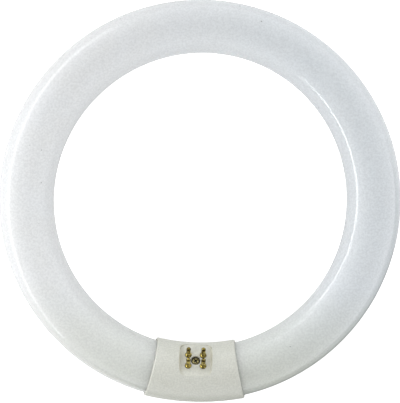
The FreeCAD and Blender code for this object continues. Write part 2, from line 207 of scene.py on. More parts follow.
def rounded(corners):
    """Follows corners given as (across, up, radius), with each radius as an arc tangent to both its sides.

    The arc starts and ends the radius over the tangent of half the corner's angle from the corner, and its
    centre lies on the line that halves the angle.
    """
    corners = np.array(corners, float)
    path = [corners[0, :2]]
    for before, corner, after in zip(corners, corners[1:], corners[2:]):
        radius = corner[2]
        if radius == 0:
            path.append(corner[:2])
            continue
        back = before[:2] - corner[:2]
        back /= np.linalg.norm(back)
        ahead = after[:2] - corner[:2]
        ahead /= np.linalg.norm(ahead)
        half = np.arccos(np.clip(back @ ahead, -1, 1)) / 2
        middle = (back + ahead) / np.linalg.norm(back + ahead)
        centre = corner[:2] + middle * radius / np.sin(half)
        start = corner[:2] + back * radius / np.tan(half) - centre
        end = corner[:2] + ahead * radius / np.tan(half) - centre
        sweep = np.pi - 2 * half
        share = np.linspace(0, 1, ARC_STEPS + 1)[:, None]
        arc = (start * np.sin((1 - share) * sweep) + end * np.sin(share * sweep)) / np.sin(sweep)
        path.extend(centre + arc)
    path.append(corners[-1, :2])
    return np.array(path)


corner_path = rounded([(0, 0, 0), (1, 0, 0.2), (1, 1, 0)])
print("a square corner, rounded by a fifth of its side, has", len(corner_path), "points")


# %% Short steps and the lathe
def divided(path, step):
    """Adds points along a path so that no two are further apart than the step."""
    parts = []
    for start, end in zip(path, path[1:]):
        count = max(1, int(np.ceil(np.linalg.norm(end - start) / step)))
        parts.append(start + (end - start) * np.arange(count)[:, None] / count)
    return np.vstack([*parts, path[-1:]])


def lathe(path, turns=96):
    """Turns a path of (radius, height): across is the radius times the turn's cosine and sine."""
    turn = np.arange(turns) * TAU / turns
    radius, height = path[:, :1], path[:, 1:]
    return np.stack([radius * np.cos(turn), radius * np.sin(turn), height + 0 * turn], axis=-1)


print("turned, that corner is a grid of shape", lathe(corner_path).shape)

# %% [markdown]
# ## The glass
#
# The real tube is drawn, coated, sealed and then bent hot round a drum. A torus would give the long run but
# not the ends, so the surface is one profile along the ring: a sealed tip in a shallow well, a round
# shoulder, the long round run, and the same again backwards. One formula carries that profile round the ring.

# %% Circles round the ring
THINNED = 1.4
THINNED_MIDDLE = np.radians(70.0)
THINNED_HALF = np.radians(85.0)


def ring_surface(along, radius, columns):
    """Carries circles round the ring: along is the distance from the first glass end, in millimetres.

    A circle's point lies at the ring's radius plus its own radius times the cosine of its turn, and its
    height is its own radius times the sine. Bending thins the tube a little opposite the base: there each
    circle shrinks towards its outermost point, most at one angle and by a squared cosine to both sides.
    """
    half_gap = np.arcsin(GLASS_GAP / 2 / RING_RADIUS)
    angle = (-np.pi / 2 + half_gap + along / RING_RADIUS)[:, None]
    away = np.clip((angle - THINNED_MIDDLE) / THINNED_HALF, -1, 1)
    thinned = THINNED * np.cos(away * np.pi / 2) ** 2
    share = 1 - thinned / (2 * GLASS_RADIUS)
    turn = np.arange(columns) * TAU / columns
    reach = RING_RADIUS + thinned / 2 + radius[:, None] * share * np.cos(turn)
    rise = radius[:, None] * share * np.sin(turn)
    return np.stack([reach * np.cos(angle), reach * np.sin(angle), rise + 0 * angle], axis=-1)


print(f"the tube is thinned by up to {THINNED} mm at {np.degrees(THINNED_MIDDLE):.0f} degrees")


# %% The glass tube, end to end
END_ROUND = 4.5
WELL_RADIUS = 6.5
WELL_DEPTH = 6.0
WELL_CORNER = 1.0
WELL_MOUTH = 0.8
TIP_RADIUS = 1.8
TIP_PROUD = 2.5
TIP_ROUND = 1.2
TIP_FOOT = 0.6
RING_STEP = 1.2
SECTION_COLUMNS = 88

end_profile = rounded([
    (-TIP_PROUD, 0, 0),
    (-TIP_PROUD, TIP_RADIUS, TIP_ROUND),
    (WELL_DEPTH, TIP_RADIUS, TIP_FOOT),
    (WELL_DEPTH, WELL_RADIUS, WELL_CORNER),
    (0, WELL_RADIUS, WELL_MOUTH),
    (0, GLASS_RADIUS, END_ROUND),
    (END_ROUND * 2, GLASS_RADIUS, 0),
])
glass_run = (TAU - 2 * np.arcsin(GLASS_GAP / 2 / RING_RADIUS)) * RING_RADIUS
half_profile = np.vstack([divided(end_profile, RING_STEP), [glass_run / 2, GLASS_RADIUS]])
other_half = half_profile[-2::-1] * [-1, 1] + [glass_run, 0]
glass_profile = divided(np.vstack([half_profile, other_half]), RING_STEP)
glass_grid = ring_surface(glass_profile[:, 0], glass_profile[:, 1], SECTION_COLUMNS)
glass = piece_of("glass_ring", mesh_of("glass_ring", (glass_grid, True)))

# %% [markdown]
# ## The base's own coordinates
#
# The base is easiest to describe by three numbers: the run along its arc, the turn round its section,
# counted from the way the pins point, and the radius from the section's centre line. A second, straight
# frame stands on the section's middle, with the pins upright in it. The base leans, so both end in a turn
# by the lean. Moulded surfaces use the first and turned parts the second.

# %% Two ways to place a point of the base
def on_base(run, turn, radius):
    """The point at a run along the base's arc, a turn round its section and a radius from its centre line.

    In the section, inward is the radius times the turn's sine and height is the radius times its cosine.
    Both are then turned by the lean, and carried round the arc's centre by the run.
    """
    inward = radius * np.sin(turn)
    height = radius * np.cos(turn)
    reach = BASE_ARC - inward * np.cos(LEAN) - height * np.sin(LEAN)
    rise = height * np.cos(LEAN) - inward * np.sin(LEAN)
    return np.stack([reach * np.sin(run), ARC_CENTRE - reach * np.cos(run), rise], axis=-1)


def stand(points, inward=0.0, along=0.0, height=0.0, turn=0.0):
    """Places points that are upright about their own axis at a spot of the base's straight frame."""
    x, y, z = np.moveaxis(points, -1, 0)
    across = along + x * np.cos(turn) - y * np.sin(turn)
    inner = inward + x * np.sin(turn) + y * np.cos(turn)
    upper = height + z
    back = -BASE_MIDDLE + inner * np.cos(LEAN) + upper * np.sin(LEAN)
    rise = upper * np.cos(LEAN) - inner * np.sin(LEAN)
    return np.stack([across, back, rise], axis=-1)


print("the middle of the base's centre line, in mm:", np.round(on_base(0.0, 0.0, 0.0), 3))


# %% Back from a point to its run, turn and radius
def section_of(points):
    """The run, turn and radius of points: on_base the other way round."""
    x, y, z = np.moveaxis(points, -1, 0)
    run = np.arctan2(x, ARC_CENTRE - y)
    outward = np.hypot(x, ARC_CENTRE - y) - BASE_ARC
    inward = -outward * np.cos(LEAN) - z * np.sin(LEAN)
    height = -outward * np.sin(LEAN) + z * np.cos(LEAN)
    return run, np.arctan2(inward, height), np.hypot(inward, height)


floor_middle = stand(np.array([0, 0, FLOOR_HEIGHT]))
print(f"the sunken floor's middle lies at radius {section_of(floor_middle)[2]:.2f} mm")


# %% [markdown]
# The base's ends are flat, and each leans towards the middle both as it goes in to the ring's middle and as
# it rises to the pins. A plane could cut them, but the mouths are rounded there, so the grid itself has to
# stop at the plane: where an end comes along the run depends on the turn and the radius.

# %% Where the ends come
END_FACE = np.array([
    np.cos(END_ANGLE) * np.cos(END_DRAFT),
    np.sin(END_ANGLE),
    np.cos(END_ANGLE) * np.sin(END_DRAFT),
])
END_DISTANCE = HALF_LENGTH * np.cos(END_DRAFT) * np.cos(END_ANGLE)
END_STEPS = 12


def end_run(turn, radius):
    """The run at which a line at this turn and radius meets the flat end on the +X side.

    Each step moves the run by how far the point still is from the end's plane, over the arc's radius.
    """
    run = np.full_like(turn, HALF_LENGTH / BASE_ARC)
    for _ in range(END_STEPS):
        x, y, z = np.moveaxis(on_base(run, turn, radius), -1, 0)
        inner = (y + BASE_MIDDLE) * np.cos(LEAN) - z * np.sin(LEAN)
        upper = (y + BASE_MIDDLE) * np.sin(LEAN) + z * np.cos(LEAN)
        run = run - (np.stack([x, inner, upper], -1) @ END_FACE - END_DISTANCE) / BASE_ARC
    return run


end_turns = np.array([-np.pi / 2, np.pi / 2])
print("run to the end at the outer and inner side, in mm:", end_run(end_turns, BASE_RADIUS) * BASE_ARC)


# %% [markdown]
# ## The base's two shells
#
# The sleeve is moulded as two half shells that meet along its sides. Each shell is an outer sheet, an inner
# sheet with a lip at each mouth, and an edge strip that goes round both. A point of a sheet is named by its
# turn and its share of the way to the end, from -1 to 1. The sheets share both values along their borders,
# so the three close into one solid. A bent, hollowed cylinder with bevels would need its leaning mouths and
# its blended corners mended by hand.

# %% A sheet's border
def border(values):
    """The border of a grid as one loop: first row, last column, then last row and first column backwards."""
    return np.concatenate([values[0], values[1:, -1], values[-1, -2::-1], values[-2:0:-1, 0]])


print("a grid numbered 0 to 8 has the border", border(np.arange(9).reshape(3, 3)))


# %% A shell's inside
LIP_ROWS = 5
BORE_ROWS = 81
BORE_SIDE_ROWS = 24
BLOCK_ROWS = 41


def inner_sheet(turns, bore, block=None):
    """The run, turn and radius of a shell's inside, which steps at the lips and round the floor's block.

    bore and block give the radius at each turn. Where a stretch ends and the next starts, the run comes
    twice, so the change of radius makes a step.
    """
    lip = np.full_like(turns, LIP_RADIUS)
    mouth = end_run(turns, LIP_RADIUS)
    bore_end = np.full_like(turns, BORE_RUN)
    if block is None:
        inside = [(-bore_end, bore_end, BORE_ROWS, bore)]
    else:
        block_end = np.full_like(turns, BLOCK_RUN)
        inside = [
            (-bore_end, -block_end, BORE_SIDE_ROWS, bore),
            (-block_end, block_end, BLOCK_ROWS, block),
            (block_end, bore_end, BORE_SIDE_ROWS, bore),
        ]
    stretches = [(-mouth, -bore_end, LIP_ROWS, lip), *inside, (bore_end, mouth, LIP_ROWS, lip)]
    runs = np.vstack([np.linspace(start, end, count) for start, end, count, radius in stretches])
    radii = np.vstack([np.tile(radius, (count, 1)) for start, end, count, radius in stretches])
    return runs, turns + 0 * runs, radii


print(f"bore of {BORE_RADIUS:.2f} mm between lips of {LIP_RADIUS:.2f} mm")


# %% The outer border and the edge strip
MOUTH_ROUND = 0.8
PARTING_ROUND = 0.28
CORNER_BLEND = 2.0
EDGE_TURNS = np.linspace(0, np.pi / 2, 7)


def smoothstep(share):
    """Goes softly from 0 to 1: three times the share squared, less twice its cube."""
    share = np.clip(share, 0, 1)
    return share * share * (3 - 2 * share)


def drawn_in(share, turn, middle, bend=0.0, radius=None):
    """Run and turn of the outer border, drawn in from its full place by what the rounding still needs.

    bend goes from 0, where the rounding starts, to a quarter turn, where the border is at its full place.
    """
    left = 1 - np.sin(bend)
    turn = middle + (turn - middle) * (1 - left * PARTING_ROUND / BASE_RADIUS / (np.pi / 2))
    radius = BASE_RADIUS if radius is None else radius
    return share * (end_run(turn, radius) - left * MOUTH_ROUND / BASE_ARC), turn


def edge_strip(share, run, turn, middle, inner):
    """Rows from the outer sheet's border over its rounding and across the wall to the inner sheet's border.

    The radius falls by the rounding times one less the cosine of the bend. The mouths are rounded more than
    the parting edges, and the two blend near the corners.
    """
    from_mouth = (1 - np.abs(share)) * HALF_LENGTH
    rounding = MOUTH_ROUND + (PARTING_ROUND - MOUTH_ROUND) * smoothstep(from_mouth / CORNER_BLEND)
    rows = []
    for bend in EDGE_TURNS:
        radius = BASE_RADIUS - rounding * (1 - np.cos(bend))
        rows.append(on_base(*drawn_in(share, turn, middle, bend, radius), radius))
    return np.stack([*rows, on_base(run, turn, inner)])


print(f"mouths are rounded by {MOUTH_ROUND} mm and the parting edges by {PARTING_ROUND} mm")

# %% [markdown]
# The back shell is plain outside. Inside it has a boss that the screw is driven into. A post simply pushed
# through the wall would leave faces inside the plastic, so a union with a turned solid adds it. The union is
# applied at once, and the finished piece is one mesh.

# %% Solids joined and cut
def combined(name, mesh, tool_mesh, operation):
    """The union or difference of two closed meshes, as a new mesh."""
    base = bpy.data.objects.new(name, mesh)
    tool = bpy.data.objects.new(name + "_tool", tool_mesh)
    for item in (base, tool):
        bpy.context.scene.collection.objects.link(item)
    change = base.modifiers.new("change", "BOOLEAN")
    change.operation = operation
    change.solver = "EXACT"
    change.object = tool
    graph = bpy.context.evaluated_depsgraph_get()
    result = bpy.data.meshes.new_from_object(base.evaluated_get(graph))
    result.name = name
    for item in (base, tool):
        bpy.data.objects.remove(item)
    print(f"{name}: {len(result.polygons)} faces after the {operation.lower()}")
    return result


# %% The back shell
BACK_MIDDLE = np.pi
BACK_COLUMNS = 97
BOSS_RADIUS = 2.7
BOSS_GAP = 0.1
BOSS_SPARE = 2.0
BOSS_CHAMFER = 0.15
BOSS_ROUND = 0.3

back_turns = np.linspace(np.pi / 2, 3 * np.pi / 2, BACK_COLUMNS)
run, turn, radius = inner_sheet(back_turns, np.full_like(back_turns, BORE_RADIUS))
share = run / run[-1]
back_mesh = mesh_of(
    "back_shell",
    (on_base(*drawn_in(share, turn, BACK_MIDDLE), BASE_RADIUS), False),
    (edge_strip(border(share), border(run), border(turn), BACK_MIDDLE, border(radius)), True),
    (on_base(run, turn, radius), False),
)
boss_top = FLOOR_UNDERSIDE - BOSS_GAP
bore_floor = SCREW_SEAT - SCREW_LENGTH - BOSS_SPARE
boss_path = rounded([
    (0, bore_floor, 0),
    (SCREW_RADIUS, bore_floor, 0),
    (SCREW_RADIUS, boss_top, BOSS_CHAMFER),
    (BOSS_RADIUS, boss_top, BOSS_ROUND),
    (BOSS_RADIUS, -BORE_RADIUS - BASE_WALL / 2, 0),
    (0, -BORE_RADIUS - BASE_WALL / 2, 0),
])
boss_mesh = mesh_of("boss", (stand(lathe(boss_path)), True))
back_shell = piece_of("base_back", combined("base_back", back_mesh, boss_mesh, "UNION"))

# %% [markdown]
# The front shell carries the sunken floor. Its outside is one grid that starts at the middle of the floor,
# goes up the drafted wall, over the rim and out across the sleeve to the border. Every row of it is a loop
# round the recess: a rounded oblong at the floor, which spreads into the sleeve's own border. Cutting the
# recess with a block would be quicker, but would leave its rim sharp and its shading ragged.

# %% The recess outline
FLOOR_FILLET = 0.4
RIM_ROUND = 0.3


def oblong(across, inner):
    """Points and outward directions of the recess outline for spots on the border of a two by two square.

    Along each side the spot's distance from the middle, as a share, is a distance along half that side and
    half of its round corner.
    """
    wide = np.abs(across) >= np.abs(inner)
    share = np.where(wide, np.abs(inner), np.abs(across))
    near_half = np.where(wide, RECESS_WIDTH, RECESS_LENGTH) / 2 - RECESS_CORNER
    far_half = np.where(wide, RECESS_LENGTH, RECESS_WIDTH) / 2 - RECESS_CORNER
    way = share * (near_half + RECESS_CORNER * np.pi / 4)
    bend = np.clip((way - near_half) / RECESS_CORNER, 0, None)
    near = np.minimum(way, near_half) + RECESS_CORNER * np.sin(bend)
    far = far_half + RECESS_CORNER * np.cos(bend)
    x = np.where(wide, far, near) * np.sign(across)
    y = np.where(wide, near, far) * np.sign(inner)
    normal_x = np.where(wide, np.cos(bend), np.sin(bend)) * np.sign(across)
    normal_y = np.where(wide, np.sin(bend), np.cos(bend)) * np.sign(inner)
    return np.stack([x, y], -1), np.stack([normal_x, normal_y], -1)


print(f"recess {RECESS_LENGTH} by {RECESS_WIDTH} mm, with corners of {RECESS_CORNER} mm")

# %% [markdown]
# The recess wall leans outwards, so that the part leaves its mould. It ends where it meets the curved sleeve,
# at another height all round. A boolean would find that line too, but here the mesh's own rows have to follow
# it, so each spot's height is found in a few steps that close in on the sleeve.

# %% The recess wall, from the floor to the sleeve
FRONT_MIDDLE = 0.0
SIDE_COLUMNS = 31
FLOOR_COLUMNS = 61
LEAST_COSINE = 0.1
WALL_STEPS = 8

block_turn = np.arccos(FLOOR_UNDERSIDE / BORE_RADIUS)
front_turns = np.concatenate([
    np.linspace(-np.pi / 2, -block_turn, SIDE_COLUMNS)[:-1],
    np.linspace(-block_turn, block_turn, FLOOR_COLUMNS)[:-1],
    np.linspace(block_turn, np.pi / 2, SIDE_COLUMNS),
])
floor_below = FLOOR_UNDERSIDE / np.maximum(np.cos(front_turns), LEAST_COSINE)
under_floor = np.minimum(BORE_RADIUS, floor_below)
run, turn, radius = inner_sheet(front_turns, np.full_like(front_turns, BORE_RADIUS), under_floor)
rim_share, rim_turn = border(run / run[-1]), border(turn)
outline, outward = oblong(rim_share, rim_turn / (np.pi / 2))
flat = np.concatenate([outline, 0 * outline[:, :1]], -1)
outward = np.concatenate([outward, 0 * outward[:, :1]], -1)
rise = np.array([0, 0, 1])
slope = rise + outward * np.tan(RECESS_DRAFT)
floor_edge = flat + rise * FLOOR_HEIGHT
wall_height = np.ones(len(flat))
for _ in range(WALL_STEPS):
    found = section_of(stand(floor_edge + slope * wall_height[:, None]))
    wall_height -= (found[2] - BASE_RADIUS) / np.cos(found[1])
wall_top = floor_edge + slope * wall_height[:, None]
print(f"recess wall {wall_height.min():.2f} to {wall_height.max():.2f} mm high")

# %% The sleeve round the recess
sleeve_start = section_of(stand(wall_top))
sleeve_end = drawn_in(rim_share, rim_turn, FRONT_MIDDLE)


def on_sleeve(share):
    """The sleeve's surface, by the share of the way from the recess's rim to the sleeve's border."""
    run_now = sleeve_start[0] + (sleeve_end[0] - sleeve_start[0]) * share
    turn_now = sleeve_start[1] + (sleeve_end[1] - sleeve_start[1]) * share
    return on_base(run_now, turn_now, BASE_RADIUS)


tiny = 1e-3
pace = np.linalg.norm(on_sleeve(tiny) - on_sleeve(0), axis=-1) / tiny
print(f"from rim to border the sleeve is {pace.min():.1f} to {pace.max():.1f} mm wide")

# %% [markdown]
# The corner between floor and wall and the one between wall and sleeve are rounded by a few rows along a soft
# curve. A bevel modifier would round both alike, and would pinch where the wall gets low.

# %% Rows from the recess floor to the sleeve
FLOOR_ROWS = 10
WALL_ROWS = 5
ROUND_ROWS = 7
FLOOR_REACH = 0.9
WALL_SHARE = 0.4


def curve(start, corner, end, shares):
    """The quadratic curve from start to end that leaves and arrives along the two sides of the corner."""
    return np.stack([(1 - s) ** 2 * start + 2 * s * (1 - s) * corner + s**2 * end for s in shares])


foot = np.minimum(FLOOR_FILLET, WALL_SHARE * wall_height)[:, None]
brow = np.minimum(RIM_ROUND, WALL_SHARE * wall_height)[:, None]
floor_start = floor_edge - outward * foot
wall_low = floor_edge + slope * foot
wall_high = wall_top - slope * brow
brow_share = brow[:, 0] / pace
shares = np.linspace(0, 1, ROUND_ROWS)
floor_shares = np.linspace(0, FLOOR_REACH, FLOOR_ROWS)
floor_rows = [stand(flat * share + rise * FLOOR_HEIGHT) for share in floor_shares]
foot_rows = stand(curve(floor_start, floor_edge, wall_low, shares))
wall_rows = [stand(wall_low + (wall_high - wall_low) * s) for s in np.linspace(0, 1, WALL_ROWS)[1:-1]]
brow_rows = curve(stand(wall_high), stand(wall_top), on_sleeve(brow_share), shares)
print(len(floor_rows), "rows of floor,", len(wall_rows), "of wall, and", 2 * ROUND_ROWS, "round them")

# %% The front shell in one mesh
SLEEVE_ROWS = 30
SLEEVE_CROWDING = 1.4

steps = np.linspace(0, 1, SLEEVE_ROWS) ** SLEEVE_CROWDING
sleeve_rows = [on_sleeve(brow_share + (1 - brow_share) * step) for step in steps[1:-1]]
front_outside = np.stack([*floor_rows, *foot_rows, *wall_rows, *brow_rows, *sleeve_rows])
front_edge = edge_strip(rim_share, border(run), rim_turn, FRONT_MIDDLE, border(radius))
front_mesh = mesh_of(
    "front_shell",
    (np.concatenate([front_outside, front_edge]), True),
    (on_base(run, turn, radius), False),
)

# %% [markdown]
# The floor is bored for the four pins and for the screw, whose head has a well of its own. The holes are
# round and the floor is flat there, so these alone are cut, with a boolean difference: no shading is hurt.

# %% Holes in the floor
NECK_HOLE = 1.35
SCREW_HOLE = 1.3
HOLE_TURNS = 48
OVER = 0.6

below, above = FLOOR_UNDERSIDE - OVER, FLOOR_HEIGHT + OVER
pin_spots = [
    (side * PIN_ALONG / 2, inner * PIN_ACROSS / 2)
    for inner in (1, -1) for side in (-1, 1)
]
neck_path = np.array([(0, below), (NECK_HOLE, below), (NECK_HOLE, above), (0, above)])
well_path = np.array([
    (0, below), (SCREW_HOLE, below), (SCREW_HOLE, SCREW_SEAT),
    (HEAD_WELL_RADIUS, SCREW_SEAT), (HEAD_WELL_RADIUS, above), (0, above),
])
cutters = [(stand(lathe(neck_path, HOLE_TURNS), inner, along), True) for along, inner in pin_spots]
cutters.append((stand(lathe(well_path)), True))
cutter_mesh = mesh_of("borings", *cutters)
print(len(cutters), "borings go through the floor")
front_shell = piece_of("base_front", combined("base_front", front_mesh, cutter_mesh, "DIFFERENCE"))

# %% [markdown]
# ## The contact pins
#
# A pin is turned from brass tube: a domed tip, a bell-shaped collar that sits on the floor, a neck through
# it and a tail that is spread underneath. One dent in its side grips the lead wire. A boolean cut would leave
# the dent's rim sharp, so it is worked into the turned radius: along each ray from the axis, the metal ends
# where the pressing tool's rounded edge was.

# %% Sizes of a pin
COLLAR_RADIUS = 1.8
COLLAR_HEIGHT = 1.1
COLLAR_CURVE = 1.1
COLLAR_EDGE = 0.12
COLLAR_START = 0.16
NECK_RADIUS = 1.3
TAIL_RADIUS = 1.75
TAIL_THICKNESS = 0.4
BORE_OF_PIN = 0.5
BORE_TOP = 5.0
CRIMP_HEIGHT = 2.45
CRIMP_LENGTH = 2.3
CRIMP_DEPTH = 0.42
CRIMP_STANDOFF = 0.12
CRIMP_SOFT = 0.035
PIN_STEP = 0.09
PIN_TURNS = 112
print(f"crimp {CRIMP_LENGTH} mm long and {CRIMP_DEPTH} mm deep, {CRIMP_HEIGHT} mm above the floor")


# %% Arcs between two points
def arc_between(start, end, radius, count):
    """Points of the arc of this radius, under half a turn, that runs anticlockwise from start to end."""
    start, end = np.array(start, float), np.array(end, float)
    chord = end - start
    length = np.linalg.norm(chord)
    left = np.array([-chord[1], chord[0]]) / length
    centre = (start + end) / 2 + left * np.sqrt(radius**2 - length**2 / 4)
    first = np.arctan2(*(start - centre)[::-1])
    last = first + 2 * np.arcsin(length / 2 / radius)
    angle = np.linspace(first, last, count)
    return centre + radius * np.stack([np.cos(angle), np.sin(angle)], -1)


print("a quarter circle's middle point:", np.round(arc_between((1, 0), (0, 1), 1, 3)[1], 4))


# %% The crimp
BORE_SPARE = 0.05


def crimped(points):
    """Presses a dent into the side of a lathe's grid that faces across.

    The tool is a spindle about an upright line beside the pin, and its radius at each height is an arc's.
    A ray at a turn from the line's direction meets it at the line's distance times the turn's cosine, less
    the root of the tool's radius squared less the distance times the sine, squared.
    """
    x, y, z = np.moveaxis(points, -1, 0)
    radius, turn = np.hypot(x, y), np.arctan2(y, x)
    away = PIN_RADIUS + CRIMP_STANDOFF
    reach = CRIMP_DEPTH + CRIMP_STANDOFF
    bow = ((CRIMP_LENGTH / 2) ** 2 + reach**2) / (2 * reach)
    level = np.clip(bow**2 - (z - CRIMP_HEIGHT) ** 2, 0, None)
    tool = np.sqrt(level) - (bow - reach)
    inside = tool**2 - (away * np.sin(turn)) ** 2
    pressed = away * np.cos(turn) - np.sqrt(np.clip(inside, 0, None))
    meets = (tool > 0) & (inside > 0) & (np.cos(turn) > 0)
    pressed = np.where(meets, pressed, radius + 1)
    closer = np.clip(0.5 + (radius - pressed) / (2 * CRIMP_SOFT), 0, 1)
    soft = radius + (pressed - radius) * closer - CRIMP_SOFT * closer * (1 - closer)
    outside = radius > BORE_OF_PIN + BORE_SPARE
    radius = np.where(outside & meets, np.minimum(soft, radius), radius)
    return np.stack([radius * np.cos(turn), radius * np.sin(turn), z], axis=-1)


# %% One pin's grid
COLLAR_STEPS = 12
TIP_STEPS = 20
TIP_CURVE = PIN_RADIUS * 1.0001

tail_low = -FLOOR_THICKNESS - TAIL_THICKNESS
pin_path = np.vstack([
    rounded([
        (0, BORE_TOP, 0),
        (BORE_OF_PIN, BORE_TOP, 0.2),
        (BORE_OF_PIN, tail_low, 0.12),
        (TAIL_RADIUS, tail_low, 0.15),
        (TAIL_RADIUS, -FLOOR_THICKNESS, 0.1),
        (NECK_RADIUS, -FLOOR_THICKNESS, 0.05),
        (NECK_RADIUS, 0, 0.05),
        (COLLAR_RADIUS, 0, 0.06),
        (COLLAR_RADIUS, COLLAR_EDGE, 0),
    ]),
    arc_between((COLLAR_RADIUS, COLLAR_START), (PIN_RADIUS, COLLAR_HEIGHT), COLLAR_CURVE, COLLAR_STEPS),
    arc_between((PIN_RADIUS, PIN_LENGTH - PIN_RADIUS), (0, PIN_LENGTH), TIP_CURVE, TIP_STEPS),
])
pin_grid = crimped(lathe(divided(pin_path, PIN_STEP), PIN_TURNS))
print("rows, columns and coordinates of a pin's grid:", pin_grid.shape)

# %% [markdown]
# The four pins are the same part, and each is turned so that its crimp faces the way it does on the real
# lamp. Copies with a shared mesh would be lighter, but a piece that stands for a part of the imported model
# keeps its place in its points, so each pin gets a mesh of its own.

# %% Four pins
crimp_turns = [0, np.pi, -np.pi / 2, -np.pi / 2]
pins = []
for number, ((along, inner), crimp_turn) in enumerate(zip(pin_spots, crimp_turns), start=1):
    points = stand(pin_grid, inner, along, FLOOR_HEIGHT, crimp_turn)
    pins.append(piece_of(f"brass_pin_{number}", mesh_of(f"brass_pin_{number}", (points, True))))

# %% [markdown]
# ## The clamp screw
#
# The screw has a pan head with a cross recess and a thread. A screw modifier could wind the thread, but its
# ends would need closing by hand. So both are worked out on a lathe's grid: the thread lowers the radius by a
# triangle wave of height and turn together, which is a helix, and the recess lowers the head's top by how
# deep its two crossing slots are at each spot.

# %% Sizes of the screw
HEAD_RADIUS = 2.2
HEAD_HEIGHT = 1.7
HEAD_FLANK = 0.6
HEAD_FLAT = 1.3
HEAD_CURVE = 1.35
CROSS_LENGTH = 2.5
CROSS_WIDTH = 0.62
CROSS_DEPTH = 1.1
CROSS_TURN = np.radians(35.0)
CROSS_TAPER = 0.09
THREAD_DEPTH = 0.26
THREAD_PITCH = 0.9
THREAD_RUN_OUT = 0.6
THREAD_RUN_IN = 0.8
THREAD_START = 0.5
THREAD_SHARPNESS = 1.5
THREAD_CREST = 0.1
CROSS_SLOPE = 0.75
CROSS_BULGE = 0.7
SCREW_POINT = 1.0
SCREW_TURNS = 168
print(f"head {2 * HEAD_RADIUS} mm across, thread {THREAD_PITCH} mm a turn")


# %% The thread
def threaded(points):
    """Lowers a shank's radius by the thread's depth times how far a spot is from its nearest crest.

    The distance is a triangle wave, of period one pitch, of the height less the pitch times the turn.
    """
    x, y, z = np.moveaxis(points, -1, 0)
    radius, turn = np.hypot(x, y), np.arctan2(y, x)
    wave = np.abs((z / THREAD_PITCH - turn / TAU) % 1 - 0.5) * 2
    groove = THREAD_DEPTH * smoothstep(THREAD_SHARPNESS * wave - THREAD_CREST)
    reach = smoothstep(-(z + THREAD_START) / THREAD_RUN_OUT) * smoothstep((z + SCREW_LENGTH) / THREAD_RUN_IN)
    radius = np.where(z < 0, np.maximum(radius - groove * reach, 0), radius)
    return np.stack([radius * np.cos(turn), radius * np.sin(turn), z], axis=-1)


# %% The cross in the head
def cross_cut(points):
    """Lowers the head's top inside the cross: two slots, with sides and ends that lean in as they deepen."""
    x, y, z = np.moveaxis(points, -1, 0)
    depth = np.zeros_like(z)
    for along, across in ((x, y), (y, x)):
        side = smoothstep((CROSS_WIDTH / 2 - np.abs(across)) / CROSS_TAPER + 0.5)
        end = np.clip((CROSS_LENGTH / 2 - np.abs(along)) / CROSS_SLOPE, 0, 1) ** CROSS_BULGE
        depth = np.maximum(depth, CROSS_DEPTH * side * end)
    return np.stack([x, y, z - depth * (z > HEAD_FLANK)], axis=-1)


# %% The clamp screw
SCREW_STEP = 0.08
DOME_STEPS = 16
TOP_RINGS = 44

shank_path = rounded([
    (0, -SCREW_LENGTH, 0),
    (SCREW_RADIUS - SCREW_POINT, -SCREW_LENGTH, 0.05),
    (SCREW_RADIUS, -SCREW_LENGTH + SCREW_POINT, 0),
    (SCREW_RADIUS, 0, 0.05),
    (HEAD_RADIUS, 0, 0.1),
    (HEAD_RADIUS, HEAD_FLANK, 0),
])
dome_path = arc_between((HEAD_RADIUS, HEAD_FLANK), (HEAD_FLAT, HEAD_HEIGHT), HEAD_CURVE, DOME_STEPS)
top_path = np.stack([np.linspace(HEAD_FLAT, 0, TOP_RINGS), np.full(TOP_RINGS, HEAD_HEIGHT)], -1)
screw_path = np.vstack([divided(shank_path, SCREW_STEP), dome_path[1:], top_path[1:]])
screw_grid = cross_cut(threaded(lathe(screw_path, SCREW_TURNS)))
screw_points = stand(screw_grid, height=SCREW_SEAT, turn=CROSS_TURN)
screw = piece_of("cross_screw", mesh_of("cross_screw", (screw_points, True)))

# %% [markdown]
# ## Materials
#
# Each finish is worked out from the position on the object, so nothing is painted by hand and nothing needs
# unwrapping. It is a short chain of nodes: a pattern or a place gives a value, the value is spread over a
# range, and the result mixes two colours. Each helper below makes one link of such a chain.

# %% A material to start from
def node_tree(name):
    """A new material with its node tree, its main shader and a source of object coordinates."""
    material = bpy.data.materials.new(name)
    material.use_nodes = True
    tree = material.node_tree
    shader = tree.nodes["Principled BSDF"]
    place = tree.nodes.new("ShaderNodeTexCoord").outputs["Object"]
    return material, tree, shader, place


def split(tree, vector):
    """The X, Y and Z parts of a vector, by name."""
    node = tree.nodes.new("ShaderNodeSeparateXYZ")
    tree.links.new(vector, node.inputs[0])
    return node.outputs


# %% Values that are spread, added and multiplied
def spread(tree, value, low, high, first, last):
    """Maps a value from the range low to high onto first to last, held at both ends."""
    node = tree.nodes.new("ShaderNodeMapRange")
    for key, number in zip(("From Min", "From Max", "To Min", "To Max"), (low, high, first, last)):
        node.inputs[key].default_value = number
    tree.links.new(value, node.inputs["Value"])
    return node.outputs["Result"]


def math_node(tree, operation, first, second):
    """One sum, product or other operation of two values, each an output or a number."""
    node = tree.nodes.new("ShaderNodeMath")
    node.operation = operation
    for socket, value in zip(node.inputs, (first, second)):
        if isinstance(value, (int, float)):
            socket.default_value = value
        else:
            tree.links.new(value, socket)
    return node.outputs["Value"]


def added(tree, first, second):
    """The first value plus the second."""
    return math_node(tree, "ADD", first, second)


def less(tree, first, second):
    """The first value minus the second."""
    return math_node(tree, "SUBTRACT", first, second)


def product(tree, first, second):
    """The first value times the second, which keeps what both have."""
    return math_node(tree, "MULTIPLY", first, second)


def larger(tree, first, second):
    """The larger of two values, which keeps what either has."""
    return math_node(tree, "MAXIMUM", first, second)


